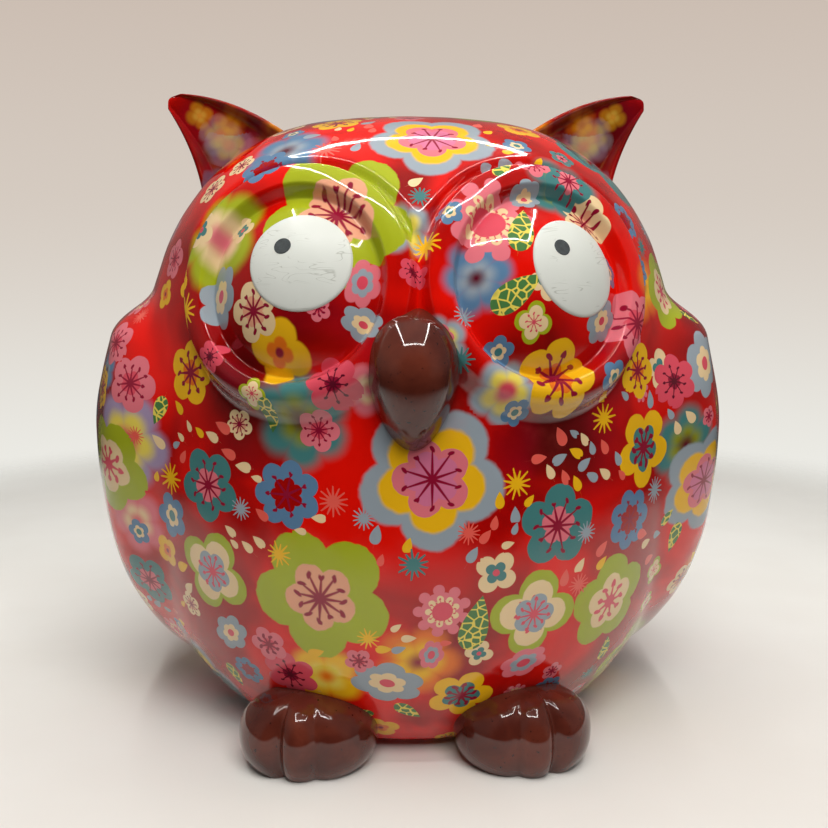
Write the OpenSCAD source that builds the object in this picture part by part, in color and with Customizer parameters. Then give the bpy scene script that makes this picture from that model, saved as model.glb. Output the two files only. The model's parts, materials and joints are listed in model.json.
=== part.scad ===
// Glazed ceramic owl coin bank with a keyed lock cover in its base.
// The owl looks along -Y and stands on z = 0. The origin is under the middle of its overall depth.

/* [Ceramic body] */
// Width of the round body between the wings
body_w = 172; // [166:1:178]
// Thickness of a folded wing over the body
wing_t = 9.8; // [6:0.1:12]
// Height of the middle of the round body
centre_z = 87; // [84:0.5:90]
// Distance the round body stands behind the origin
axis_y = 7.9; // [6:0.1:10]
// Thickness of the cast wall
wall = 5; // [4:0.5:7]

/* [Face] */
// Sideways distance of each eye from the middle
eye_x = 30; // [28:0.5:32]
// Height of each eye's centre
eye_z = 130; // [128:0.5:135]
// Radius of the groove between eyeball and goggle ring
groove_r = 23.2; // [22:0.2:26]
// Height of the eyeball over the skin
eyeball_h = 7.2; // [4:0.2:9]
// Height of the goggle ring over the skin
ring_h = 4.4; // [2:0.2:6]
// Radius of each painted eye white
white_r = 11.9; // [10:0.1:13]
// Radius of each painted pupil
pupil_r = 2; // [1.6:0.1:3]

/* [Beak and feet] */
// Width of the beak
beak_w = 23; // [18:0.2:24]
// Top of the beak
beak_top_z = 126; // [122:0.5:128]
// Tip of the beak
beak_tip_z = 90; // [88:0.5:96]
// Sideways distance of each foot from the middle
foot_x = 29.5; // [26:0.5:32]
// Height of a foot
foot_h = 22; // [20:0.5:26]

/* [Coin slot] */
// Length of the slot
slot_l = 42; // [34:1:46]
// Height of the slot
slot_t = 5; // [4.6:0.1:6]
// Height of the slot's middle over the table
slot_z = 150; // [146:0.5:154]

/* [Base] */
// Outer radius of the foot ring
base_r = 49.8; // [48:0.2:51]
// Inner radius of the foot ring
base_in_r = 44.5; // [42:0.5:46]
// Height of the underside of the base panel
panel_z = 6; // [5:0.5:8]
// Thickness of the base panel
panel_t = 4.5; // [4:0.1:5]
// Radius of the opening for emptying the bank
hole_r = 23.8; // [23.5:0.1:25]

/* [Lock cover] */
// Radius of the cover's flange
flange_r = 28.5; // [27:0.5:32]
// Radius of the pressed cup that fills the opening
cup_r = 23; // [22.5:0.1:23.4]
// Thickness of the cover's steel sheet
sheet = 1; // [0.8:0.1:1.2]
// Radius of the lock barrel
barrel_r = 5; // [4:0.1:6]
// Travel of each bolt
bolt_travel = 5; // [4:0.1:5.4]
// Width of each bolt
bolt_w = 10; // [8:0.5:12]

/* [Hidden] */

half_w = body_w / 2;
c0 = [0, axis_y, centre_z];
// Left and right are as seen from the front.
LEFT = -1;
RIGHT = 1;

function smooth(t) = let(c = min(max(t, 0), 1)) c * c * (3 - 2 * c);
function unit(v) = v / norm(v);
function bezier(a, b, c, t) = (1 - t) * (1 - t) * a + 2 * t * (1 - t) * b + t * t * c;

// A closed skin over a stack of rings of points, between two poles.
module stacked_skin(first, rings, last) {
    n = len(rings[0]);
    m = len(rings);
    points = concat([first], [for (r = rings) each r], [last]);
    faces = concat(
        [for (i = [0:n - 1]) [0, 1 + i, 1 + (i + 1) % n]],
        [for (k = [0:m - 2], i = [0:n - 1])
            [1 + k * n + i, 1 + (k + 1) * n + i, 1 + (k + 1) * n + (i + 1) % n]],
        [for (k = [0:m - 2], i = [0:n - 1])
            [1 + k * n + i, 1 + (k + 1) * n + (i + 1) % n, 1 + k * n + (i + 1) % n]],
        [for (i = [0:n - 1]) [m * n + 1, 1 + (m - 1) * n + (i + 1) % n, 1 + (m - 1) * n + i]]
    );
    polyhedron(points = points, faces = faces, convexity = 10);
}

// ---- Ceramic body ----

// The bare egg: fuller below, narrower over the shoulders, with a flat face and brow in front.
// It is a superellipse in each upright plane, squarer in front and below than at the back of the head.
crown_r = 90.5;
belly_r = 101;
face_out = 2.5;
shoulder_in = 5;
nape_power = 2.02;
brow_power = 3.2;
belly_power = 2.42;
function egg_r(d) =
    let(
        h = norm([d.x, d.y]),
        front = smooth(-d.y / max(h, 0.001) + 0.1),
        a = half_w + face_out * front - shoulder_in * (1 - front) * smooth(d.z / 0.35),
        c = d.z > 0 ? crown_r : belly_r,
        n = d.z > 0 ? nape_power + (brow_power - nape_power) * front : belly_power
    )
    pow(pow(h / a, n) + pow(abs(d.z) / c, n), -1 / n);

// How far a folded wing stands over the egg. The tables give its front edge, its back edge
// (degrees from straight out, forwards is plus) and its fullness, against the height.
function wing_h(d, r) =
    let(
        turn = atan2(-d.y, abs(d.x)),
        z = centre_z + r * d.z,
        fore = lookup(z, [[8, 4], [22, 16], [47, 27], [70, 31], [100, 36], [130, 30]]),
        aft = lookup(z, [[8, -18], [30, -32], [60, -46], [100, -54], [130, -44]]),
        full = lookup(z, [[8, 0.25], [20, 0.4], [30, 0.54], [50, 0.8], [70, 0.93], [95, 1], [125, 0.96]])
    )
    wing_t * full * smooth((fore - turn) / 18 + 0.5) * smooth((turn - aft) / 26 + 0.5)
        * smooth((129 - z) / 17) * smooth((z - 4) / 14);

// Eye axis: its centre on the face and the way it looks, turned outwards and up.
eye_turn = 18;
eye_pitch = 11;
face_y = axis_y - 76;
function eye_centre(s) = [s * eye_x, face_y, eye_z];
function eye_way(s) = [s * sin(eye_turn) * cos(eye_pitch), -cos(eye_turn) * cos(eye_pitch), sin(eye_pitch)];

function skin_r(d) = let(r = egg_r(d)) r + wing_h(d, r);
function skin(d, lift = 0) = c0 + (skin_r(d) + lift) * d;
function inner_skin(d) = let(r = egg_r(d)) c0 + (r + 0.7 * wing_h(d, r) - wall) * d;

// Azimuths run round from the back, closer together over the face.
around = 64;
function turn_at(i) = let(t = 360 * i / around) t + 12 * sin(t);
function way(turn, rise) = [sin(turn) * cos(rise), cos(turn) * cos(rise), sin(rise)];
rise_low = -55.5;
inner_rise_low = -50;
outer_rows = 34;
inner_rows = 13;
rim_z = 3.1;
rim_w = 4.6;
press = 0.3;
outer_rises = [for (k = [0:outer_rows - 1]) rise_low + (90 - rise_low) * k / outer_rows];
inner_rises = [for (k = [0:inner_rows - 1]) inner_rise_low + (90 - inner_rise_low) * k / inner_rows];
function level_ring(r, z) = [for (i = [0:around - 1]) let(t = turn_at(i)) [r * sin(t), axis_y + r * cos(t), z]];

module body_shell() {
    outer = [for (e = outer_rises) [for (i = [0:around - 1]) skin(way(turn_at(i), e))]];
    inner = [for (e = inner_rises) [for (i = [0:around - 1]) inner_skin(way(turn_at(i), e))]];
    rim = [
        level_ring(base_r + rim_w, rim_z),
        level_ring(base_r - press, rim_z),
        level_ring(base_r - press, panel_z + panel_t + 2 * press)
    ];
    down = [for (k = [len(outer) - 1:-1:0]) outer[k]];
    color("firebrick")
        difference() {
            stacked_skin(skin([0, 0, 1]), concat(down, rim, inner), inner_skin([0, 0, 1]));
            translate([-slot_l / 2, axis_y + 40, slot_z - slot_t / 2]) cube([slot_l, 60, slot_t]);
        }
}

// ---- Goggles ----

// Relief of a goggle against the distance from the eye's axis: bulging eyeball, groove and ring.
ring_mid_r = groove_r + 3.4;
ring_half_w = 3.1;
goggle_r = groove_r + 6.8;
sunk = 1;
function goggle_relief(q) =
    eyeball_h * max(1 - pow(q / groove_r, 2), 0) + ring_h * exp(-pow(abs(q - ring_mid_r) / ring_half_w, 3.4));

// A point on or over the skin, placed from the eye's axis: a sideways, b upwards.
function on_face(s, a, b, lift) =
    let(
        w = eye_way(s),
        right = unit(cross([0, 0, 1], w)),
        up = cross(w, right),
        p = eye_centre(s) + a * right + b * up
    )
    skin(unit(p - c0), lift);
function on_goggle(s, a, b, lift) = on_face(s, a, b, goggle_relief(norm([a, b])) + lift);
goggle_turns = 64;
function goggle_ring(s, q, lift) =
    [for (i = [0:goggle_turns - 1]) let(t = 360 * i / goggle_turns) on_face(s, q * sin(t), q * cos(t), lift)];
module goggle(s) {
    sizes = concat([for (k = [1:6]) groove_r * k / 6.2], [for (k = [0:6]) groove_r + 6.4 * k / 6]);
    top = [for (q = sizes) goggle_ring(s, q, goggle_relief(q))];
    under = [goggle_ring(s, goggle_r, -sunk), goggle_ring(s, goggle_r / 2, -sunk)];
    color("firebrick") stacked_skin(on_goggle(s, 0, 0, 0), concat(top, under), on_face(s, 0, 0, -sunk));
}
module goggle_left() goggle(LEFT);
module goggle_right() goggle(RIGHT);

// ---- Ears ----

// A curved horn with a dished front. Its two edges are curves in the frontal plane.
ear_turns = 20;
ear_steps = 11;
ear_y = axis_y - 2;
ear_low = [[63, 150], [63.5, 167], [74.2, 183.2]];
ear_high = [[29, 168.5], [50, 186.5], [71.2, 186.4]];
ear_tip = [74.1, 185.7];
ear_root = [43.5, 161];
function ear_ring(s, t) =
    let(
        low = bezier(ear_low[0], ear_low[1], ear_low[2], t),
        high = bezier(ear_high[0], ear_high[1], ear_high[2], t),
        mid = (low + high) / 2,
        half = (high - low) / 2,
        dish = 4.2 * (1 - t) + 1,
        back = 9.5 * (1 - t) + 2.2
    )
    [for (i = [0:ear_turns - 1])
        let(
            a = 360 * i / ear_turns,
            e = mid + half * cos(a),
            across = 1 - pow(cos(a), 2),
            y = sin(a) > 0 ? back * pow(sin(a), 0.8) : 1.2 * sin(a) + dish * across * across
        )
        [s * e.x, ear_y + 3 * (1 - t) + y, e.y]];
module ear(s) {
    rings = [for (k = [0:ear_steps]) ear_ring(s, pow(k / ear_steps, 0.85))];
    tip = [s * ear_tip.x, ear_y + 1.4, ear_tip.y];
    root = [s * ear_root.x, ear_y + 6, ear_root.y];
    turned = s < 0 ? rings : [for (r = rings) [for (i = [ear_turns - 1:-1:0]) r[i]]];
    color("firebrick") stacked_skin(root, turned, tip);
}
module ear_left() ear(LEFT);
module ear_right() ear(RIGHT);

// ---- Beak ----

beak_turns = 24;
beak_steps = 14;
beak_x = -1.6;
beak_y = axis_y - 85;
beak_out = 15.5;
beak_sunk = 3;
function beak_point(t, a) =
    let(
        z = beak_top_z + (beak_tip_z - beak_top_z) * t,
        full = pow(sin(180 * pow(t, 0.7)), 0.55),
        root_y = beak_y - 1.5 * sin(180 * t),
        front = beak_out * pow(sin(180 * pow(t, 0.8)), 0.62)
    )
    [beak_x + beak_w / 2 * full * sin(a), root_y - (cos(a) > 0 ? front : beak_sunk * full) * cos(a), z];
module beak() {
    rings = [for (k = [1:beak_steps - 1])
        let(t = 0.5 - 0.5 * cos(180 * k / beak_steps))
        [for (i = [0:beak_turns - 1]) beak_point(t, -360 * i / beak_turns)]];
    color("saddlebrown")
        stacked_skin(beak_point(0, 0), rings, beak_point(1, 0));
}

// ---- Feet ----

foot_turns = 48;
foot_steps = 12;
foot_y = axis_y - 63;
foot_turn = 8;
foot_power = 2.15;
foot_round = 0.86;
sole_r = 19;
sole_front = 18;
sole_back = 9;
ankle_z = 9;
outer_groove = 10.7;
inner_groove = -0.7;
// A paw with three rounded toes in front, turned a little inwards. The outer toe is the narrowest.
function dent(x, at, w) = exp(-pow((x - at) / w, 2));
function foot_plan(s, a) =
    let(
        deep = cos(a) < 0 ? sole_front : sole_back,
        wide = pow(abs(sin(a)) / sole_r, foot_power),
        r = pow(wide + pow(abs(cos(a)) / deep, foot_power), -1 / foot_power),
        x = s * r * sin(a)
    )
    r - smooth(-cos(a) / 0.5) * (2.6 * dent(x, outer_groove, 2) + 1.4 * dent(x, inner_groove, 2.2));
function foot_point(s, a, e) =
    let(
        q = foot_plan(s, a) * pow(cos(e), foot_round),
        up = sign(e) * pow(abs(sin(e)), foot_round) * (foot_h - ankle_z),
        turn = a + s * foot_turn
    )
    [s * foot_x + q * sin(turn), foot_y + q * cos(turn), max(ankle_z + up, 0)];
module foot(s) {
    rises = [for (k = [1:foot_steps - 1]) -90 + 180 * k / foot_steps];
    rings = [for (e = rises) [for (i = [0:foot_turns - 1]) foot_point(s, -360 * i / foot_turns, e)]];
    color("saddlebrown")
        stacked_skin([s * foot_x, foot_y, 0], rings, [s * foot_x, foot_y, foot_h]);
}
module foot_left() foot(LEFT);
module foot_right() foot(RIGHT);

// ---- Painted eyes ----

// A round patch of thick enamel on an eyeball.
paint_turns = 32;
module paint_patch(s, a, b, r, low, high) {
    sizes = [0.35, 0.7, 0.93, 1];
    function ring_of(f, lift) = [for (i = [0:paint_turns - 1])
        let(t = 360 * i / paint_turns) on_goggle(s, a + r * f * sin(t), b + r * f * cos(t), lift)];
    top = [for (f = sizes) ring_of(f, f < 0.95 ? high : (low + high) / 2)];
    under = [for (k = [len(sizes) - 1:-1:0]) ring_of(sizes[k], low)];
    stacked_skin(on_goggle(s, a, b, high), concat(top, under), on_goggle(s, a, b, low));
}
// The owl looks a little cross-eyed, so each eye's patches have their own places.
white_low = -0.25;
white_high = 0.35;
pupil_low = 0.15;
pupil_high = 0.6;
module eye_white_left() color("white") paint_patch(LEFT, 3.8, 3, white_r, white_low, white_high);
module eye_white_right() color("white") paint_patch(RIGHT, 6.4, 1.9, white_r, white_low, white_high);
module pupil_left() color("dimgray") paint_patch(LEFT, 0, 5.4, pupil_r, pupil_low, pupil_high);
module pupil_right() color("dimgray") paint_patch(RIGHT, 1.9, 5.1, pupil_r, pupil_low, pupil_high);

// ---- Base ----

module at_axis() translate([0, axis_y, 0]) children();

module base_disc()
    color("bisque") at_axis()
        rotate_extrude($fn = 96)
            difference() {
                translate([hole_r, 0]) square([base_r - hole_r, panel_z + panel_t]);
                translate([0, -1]) square([base_in_r, panel_z + 1]);
            }

// ---- Lock cover ----

gap = 0.3;
flange_z = 3.2;
web_z = panel_z + panel_t + gap;
bolt_z = web_z + gap;
bolt_t = 2;
cam_z = bolt_z + bolt_t + gap;
cam_t = 1.6;
cam_r = 16;
pin_r = 1.3;
pin_at = 8;
barrel_z = 6.4;
collar_z = 8.2;
collar_t = 1.3;
key_slot_w = 1.4;
key_slot_l = 6.4;
neck_r = 3.4;
neck_groove_r = neck_r - 0.6;
clip_t = 0.8;
guide_x = 18.7;
guide_w = 3;
guide_y = bolt_w / 2 + gap;
strap_t = 1.2;
tab_t = 1;
tab_l = 5.2;
rivet_y = guide_y + 3.4;
rivet_r = 0.95;
rivet_head_t = 0.6;
rivet_head_r = rivet_r + 0.5;

module lock_plate()
    color("silver") at_axis()
        difference() {
            rotate_extrude($fn = 96)
                difference() {
                    union() {
                        translate([0, flange_z]) square([flange_r, sheet]);
                        translate([0, flange_z]) square([cup_r, web_z - flange_z]);
                    }
                    translate([0, flange_z - 1]) square([cup_r - sheet, web_z - sheet - flange_z + 1]);
                    square([barrel_r + 0.1, 40]);
                }
            translate([0, 0, web_z - sheet - 1]) at_rivets() cylinder(r = rivet_r, h = sheet + 2, $fn = 32);
        }
module lock_gasket()
    color("black") at_axis()
        rotate_extrude($fn = 96)
            translate([cup_r + 0.9, flange_z + sheet])
                square([flange_r - cup_r - 1.2, panel_z - flange_z - sheet - gap]);

// Places children at the four rivets that hold the guides down.
module at_rivets() for (sx = [-1, 1], sy = [-1, 1]) translate([sx * guide_x, sy * rivet_y, 0]) children();

// The barrel's neck is flattened on two sides so that the cam turns with it.
module double_flat(r, h) intersection() {
    cylinder(r = r, h = h, $fn = 48);
    translate([-r, -0.8 * r, 0]) cube([2 * r, 1.6 * r, h]);
}
module lock_barrel()
    color("goldenrod") at_axis()
        difference() {
            union() {
                translate([0, 0, barrel_z]) cylinder(r = barrel_r, h = cam_z - barrel_z, $fn = 64);
                translate([0, 0, collar_z]) cylinder(r = barrel_r + 2, h = collar_t, $fn = 64);
                translate([0, 0, cam_z]) double_flat(neck_r, cam_t);
                translate([0, 0, cam_z + cam_t]) cylinder(r = neck_groove_r, h = clip_t, $fn = 48);
                translate([0, 0, cam_z + cam_t + clip_t]) cylinder(r = neck_r - 0.1, h = 1, $fn = 48);
            }
            translate([-key_slot_w / 2, -key_slot_l / 2, 6]) cube([key_slot_w, key_slot_l, 6]);
        }
module barrel_clip()
    color("gray") at_axis() translate([0, 0, cam_z + cam_t])
        difference() {
            cylinder(r = neck_r + 1.8, h = clip_t, $fn = 48);
            translate([0, 0, -1]) cylinder(r = neck_groove_r, h = clip_t + 2, $fn = 48);
            translate([0, -1.6, -1]) cube([neck_r + 3, 3.2, clip_t + 2]);
        }

// A spiral slot: its radius grows evenly with the turn, so the bolts move evenly with the barrel.
slot_play = 0.25;
function slot_at(t, off) = (pin_at + bolt_travel * t / 90 + off) * [cos(-t), sin(-t)];
module cam_slot() {
    w = pin_r + slot_play;
    turns = [for (t = [-4:4:94]) t];
    polygon(concat([for (t = turns) slot_at(t, w)], [for (k = [len(turns) - 1:-1:0]) slot_at(turns[k], -w)]));
    translate(slot_at(-4, 0)) circle(r = w, $fn = 32);
    translate(slot_at(94, 0)) circle(r = w, $fn = 32);
}
module lock_cam()
    color("lightgray") at_axis() translate([0, 0, cam_z])
        difference() {
            cylinder(r = cam_r, h = cam_t, $fn = 96);
            translate([0, 0, -1]) double_flat(neck_r, cam_t + 2);
            for (a = [0, 180]) rotate([0, 0, a]) translate([0, 0, -1]) linear_extrude(cam_t + 2) cam_slot();
        }

bolt_in = barrel_r + 0.8;
bolt_out = cup_r - 1.4;
module bolt(s)
    color("dimgray") at_axis() translate([0, 0, bolt_z]) rotate([0, 0, s > 0 ? 0 : 180]) {
        translate([bolt_in, -bolt_w / 2, 0]) cube([bolt_out - bolt_in, bolt_w, bolt_t]);
        translate([pin_at, 0, bolt_t - 0.5]) cylinder(r = pin_r, h = 0.3 + gap + cam_t, $fn = 32);
    }
module bolt_left() bolt(LEFT);
module bolt_right() bolt(RIGHT);

// A strap over both bolts on each side of the lock, with a tab at each end.
module guide(s) translate([s * guide_x - guide_w / 2, 0, 0]) {
    translate([0, -guide_y - strap_t, cam_z]) cube([guide_w, 2 * (guide_y + strap_t), strap_t]);
    for (side = [-1, 1]) {
        leg_y = side * (guide_y + strap_t / 2) - strap_t / 2;
        tab_y = side * (guide_y + tab_l / 2) - tab_l / 2;
        translate([0, leg_y, web_z]) cube([guide_w, strap_t, cam_z - web_z + 1]);
        translate([0, tab_y, web_z]) cube([guide_w, tab_l, tab_t]);
    }
}
module bolt_guides()
    color("silver") at_axis()
        difference() {
            union() {
                guide(LEFT);
                guide(RIGHT);
            }
            translate([0, 0, web_z - 1]) at_rivets() cylinder(r = rivet_r, h = tab_t + 2, $fn = 32);
        }
module guide_rivets()
    color("gray") at_axis() at_rivets() {
        translate([0, 0, web_z - sheet - rivet_head_t]) cylinder(r = rivet_head_r, h = rivet_head_t, $fn = 32);
        translate([0, 0, web_z - sheet - 0.3]) cylinder(r = rivet_r, h = sheet + tab_t + 0.6, $fn = 32);
        translate([0, 0, web_z + tab_t]) cylinder(r = rivet_head_r, h = rivet_head_t, $fn = 32);
    }

body_shell();
goggle_left();
goggle_right();
ear_left();
ear_right();
beak();
foot_left();
foot_right();
eye_white_left();
eye_white_right();
pupil_left();
pupil_right();
base_disc();
lock_plate();
lock_gasket();
lock_barrel();
barrel_clip();
lock_cam();
bolt_left();
bolt_right();
bolt_guides();
guide_rivets();
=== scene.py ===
"""Looks of the owl coin bank: glazed ceramic with a blossom transfer, and the metal of its lock cover.

Shapes are worked out in millimetres in the frame's axes, and their meshes are made in metres.
Left and right are as seen from the front, so left is -X.
"""
import json
import math

import bpy
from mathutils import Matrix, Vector
import numpy as np


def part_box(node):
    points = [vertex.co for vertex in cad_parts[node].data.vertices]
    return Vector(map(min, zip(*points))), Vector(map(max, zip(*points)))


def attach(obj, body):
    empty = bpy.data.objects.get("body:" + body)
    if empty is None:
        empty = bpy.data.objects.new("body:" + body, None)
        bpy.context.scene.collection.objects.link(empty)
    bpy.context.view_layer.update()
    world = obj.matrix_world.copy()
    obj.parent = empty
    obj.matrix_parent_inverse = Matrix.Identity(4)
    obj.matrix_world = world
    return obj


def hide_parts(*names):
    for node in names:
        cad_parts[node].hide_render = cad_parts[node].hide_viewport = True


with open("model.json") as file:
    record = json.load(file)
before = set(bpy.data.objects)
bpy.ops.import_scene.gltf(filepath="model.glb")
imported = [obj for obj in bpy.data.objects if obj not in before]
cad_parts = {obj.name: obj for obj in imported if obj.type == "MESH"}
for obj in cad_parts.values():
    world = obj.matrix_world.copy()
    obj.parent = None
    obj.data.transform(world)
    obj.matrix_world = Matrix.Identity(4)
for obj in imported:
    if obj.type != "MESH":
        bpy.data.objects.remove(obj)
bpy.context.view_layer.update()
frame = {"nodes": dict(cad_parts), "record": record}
nodes = frame["nodes"]

MM = 0.001
LEFT, RIGHT = -1, 1
SIDES = {LEFT: "left", RIGHT: "right"}


def box_mm(node):
    """Lowest and highest corner of a CAD node, in millimetres."""
    low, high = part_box(node)
    return np.array(low) / MM, np.array(high) / MM


# ---- Driving sizes, in millimetres ----

base_low, base_high = box_mm("base_disc")
AXIS_Y = (base_low[1] + base_high[1]) / 2
BASE_R = (base_high[0] - base_low[0]) / 2
BASE_TOP = base_high[2]
CENTRE_Z = 87.0
CENTRE = np.array([0.0, AXIS_Y, CENTRE_Z])
HALF_W, CROWN_R, BELLY_R = 86.0, 90.5, 101.0
FACE_OUT, SHOULDER_IN = 2.5, 5.0
WING_T, WALL = 9.8, 5.0
FACE_Y = AXIS_Y - 76
EYE_X, EYE_Z = 30.0, 130.0
EYE_TURN, EYE_PITCH = 18, 11
GROOVE_R, EYEBALL_H = 23.0, 7.0
RING_H, RING_MID, RING_OUT = 4.2, 26.8, 29.3
UNDER_GOGGLE_R, GOGGLE_END = 28.4, 33.0
BROW_H, BROW_Z = 1.8, 134.0
SLOT_HALF, SLOT_HALF_T, SLOT_Z = 21.0, 2.5, 150.0
GOGGLES_BEFORE_Y, SLOT_BEHIND_Y = AXIS_Y - 20, AXIS_Y + 30


# ---- Shape functions ----

def smooth(t):
    t = np.clip(t, 0.0, 1.0)
    return t * t * (3.0 - 2.0 * t)


def unit(v):
    return v / np.maximum(np.linalg.norm(v, axis=-1, keepdims=True), 1e-12)


def curve(x, knots):
    """A smooth curve through a few knots, level beyond them."""
    kx, ky = np.array(knots, float).T
    slope = np.gradient(ky, kx)
    slope[0] = slope[-1] = 0.0
    x = np.clip(x, kx[0], kx[-1])
    i = np.clip(np.searchsorted(kx, x) - 1, 0, len(kx) - 2)
    h = kx[i + 1] - kx[i]
    t = (x - kx[i]) / h
    rise = t * t * (3 - 2 * t)
    return (ky[i] * (1 - rise) + ky[i + 1] * rise
            + h * slope[i] * t * (1 - t) ** 2 - h * slope[i + 1] * t * t * (1 - t))


def egg_radius(d):
    """The bare egg: fuller below, narrower over the shoulders, with a flat face and brow in front."""
    h = np.hypot(d[..., 0], d[..., 1])
    front = smooth(-d[..., 1] / np.hypot(h, 0.12) + 0.1)
    upper = smooth((d[..., 2] + 0.1) / 0.3)
    a = HALF_W + FACE_OUT * front - SHOULDER_IN * (1 - front) * smooth(d[..., 2] / 0.35)
    c = np.where(d[..., 2] > 0, CROWN_R, BELLY_R)
    n = 2.42 + upper * (1.18 * front - 0.4)
    return ((h / a) ** n + (np.abs(d[..., 2]) / c) ** n) ** (-1 / n)


def wing_height(d, r):
    """How far a folded wing stands over the egg."""
    turn = np.degrees(np.arctan2(-d[..., 1], np.abs(d[..., 0])))
    z = CENTRE_Z + r * d[..., 2]
    fore = curve(z, [(8, 4), (22, 16), (47, 27), (70, 31), (100, 36), (130, 30)])
    aft = curve(z, [(8, -18), (30, -32), (60, -46), (100, -54), (130, -44)])
    full = curve(z, [(8, 0.25), (20, 0.4), (30, 0.54), (50, 0.8), (70, 0.93), (95, 1), (125, 0.96)])
    return (WING_T * full * smooth((fore - turn) / 18 + 0.5) * smooth((turn - aft) / 26 + 0.5)
            * smooth((129 - z) / 17) * smooth((z - 4) / 14))


def eye_centre(s):
    return np.array([s * EYE_X, FACE_Y, EYE_Z])


def eye_way(s):
    side, up = math.radians(EYE_TURN), math.radians(EYE_PITCH)
    return np.array([s * math.sin(side) * math.cos(up), -math.cos(side) * math.cos(up), math.sin(up)])


def eye_axes(s):
    right = unit(np.cross([0, 0, 1], eye_way(s)))
    return right, np.cross(eye_way(s), right)


def eye_distance(p, s):
    """Distance from the eye's axis, and how far above it, from -1 to 1."""
    off = p - eye_centre(s)
    right, up = eye_axes(s)
    a, b = off @ right, off @ up
    q = np.hypot(a, b)
    return q, b / np.maximum(q, 1e-6)


def goggle_profile(q, rise):
    """Relief of one goggle: bulging eyeball, groove and flat-topped ring, broader on its lower side."""
    inside = 1 - (q / GROOVE_R) ** 2
    dome = EYEBALL_H * 0.5 * (inside + np.sqrt(inside ** 2 + 0.006))
    tail = 2.5 - 2.1 * np.minimum(rise, 0) - 0.3 * np.maximum(rise, 0)
    ring = RING_H * smooth((q - GROOVE_R + 0.7) / 2.1) * smooth((RING_OUT + tail - q) / tail)
    round_off = np.minimum(((q - RING_MID) / 3) ** 2, 1.2)
    crown = 1 + (0.1 + 0.2 * np.maximum(-rise, 0)) * (1 - round_off)
    return dome * smooth((GROOVE_R + 1.2 - q) / 1.2) + ring * crown


def face_relief(base):
    """Both goggles and the brow that meets in a V between them, over the skin points base."""
    (ql, ul), (qr, ur) = eye_distance(base, LEFT), eye_distance(base, RIGHT)
    before = base[..., 1] < GOGGLES_BEFORE_Y
    gl, gr = goggle_profile(ql, ul), goggle_profile(qr, ur)
    goggles = (gl ** 3 + gr ** 3 + 1e-9) ** (1 / 3)
    q = (ql ** -50 + qr ** -50) ** (-1 / 50)
    start, ramp, crest, fade = 32.0, 1.4, 34.5, 9.0
    high = smooth((base[..., 2] - BROW_Z) / fade)
    brow = BROW_H * smooth((q - start) / ramp) * np.exp(-np.maximum(q - crest, 0) / fade) * high
    return np.where(before, goggles + brow, 0.0)


def hand_made(p):
    """The slight unevenness of a cast and glazed surface."""
    x, y, z = p[..., 0], p[..., 1], p[..., 2]
    return 0.09 * (np.sin(0.17 * x + 0.11 * z + 1.0) * np.sin(0.13 * z - 0.09 * y + 2.0)
                   + 0.6 * np.sin(0.31 * z + 0.21 * x) * np.sin(0.27 * x - 0.23 * y + 0.7))


def skin(d, lift=0.0):
    """Points of the outer skin with its relief, along the directions d from the body's centre."""
    r = egg_radius(d)
    r = r + wing_height(d, r)
    base = CENTRE + r[..., None] * d
    r = r + face_relief(base) + hand_made(base) + lift
    return CENTRE + r[..., None] * d


def inner_skin(d):
    """Points of the raw inside of the casting."""
    r = egg_radius(d)
    return CENTRE + (r + 0.7 * wing_height(d, r) - WALL)[..., None] * d


def way(turn, rise):
    """Direction from the body's centre: turn in degrees round from the back, rise in degrees upwards."""
    turn, rise = np.radians(turn), np.radians(rise)
    return np.stack(np.broadcast_arrays(np.sin(turn) * np.cos(rise), np.cos(turn) * np.cos(rise),
                                        np.sin(rise)), -1)


# ---- Mesh helpers ----

def ring_quads(a, b):
    """Quads between two closed rows of point numbers."""
    return np.stack([a, np.roll(a, -1), np.roll(b, -1), b], 1)


def tube_quads(count, around, first=0):
    rows = np.arange(count * around).reshape(count, around) + first
    return np.concatenate([ring_quads(rows[k], rows[k + 1]) for k in range(count - 1)])


def fan(ring, middle):
    """Triangles from a closed row of point numbers to a middle point."""
    return np.stack([ring, np.roll(ring, -1), np.full_like(ring, middle)], 1)


def piece(name, points, faces, replaces):
    """A smooth-shaded object of the bank from points in millimetres and arrays of quads and triangles."""
    mesh = bpy.data.meshes.new(name)
    mesh.from_pydata((np.asarray(points) * MM).tolist(), [], [f for group in faces for f in group.tolist()])
    mesh.validate()
    mesh.polygons.foreach_set("use_smooth", np.ones(len(mesh.polygons), bool))
    mesh.update()
    obj = bpy.data.objects.new("smooth_" + name, mesh)
    bpy.context.scene.collection.objects.link(obj)
    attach(obj, "bank")
    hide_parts(replaces)
    return obj


def drop_unused(points, faces):
    """Leaves out the points that no face uses."""
    used = np.unique(faces)
    number = np.full(len(points), -1)
    number[used] = np.arange(len(used))
    return points[used], number[faces]


# ---- Ceramic body ----

AROUND = 420
LOW_RISE, CAP_RISE = -55.5, 62.0
SNAP = 0.34


def shell_turns():
    """Azimuths of the shell's columns, closest together in front and behind."""
    t = np.arange(AROUND) * 360 / AROUND
    return t - 12.5 * np.sin(np.radians(2 * t))


def shell_rises():
    """Elevations of the shell's rows, closest together over the eyes and the coin slot."""
    rises = [LOW_RISE]
    while rises[-1] < CAP_RISE:
        rises.append(rises[-1] + 0.62 - 0.26 * float(smooth((rises[-1] - 12) / 14)))
    rises[-1] = CAP_RISE
    return np.array(rises)


def border(square, edge):
    """Lays a closed row of values along the four edges of a square array."""
    n = len(square) - 1
    square[0, :] = edge[:n + 1]
    square[:, n] = edge[n:2 * n + 1]
    square[n, ::-1] = edge[2 * n:3 * n + 1]
    square[::-1, 0] = np.append(edge[3 * n:], edge[:1], axis=0)


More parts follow.
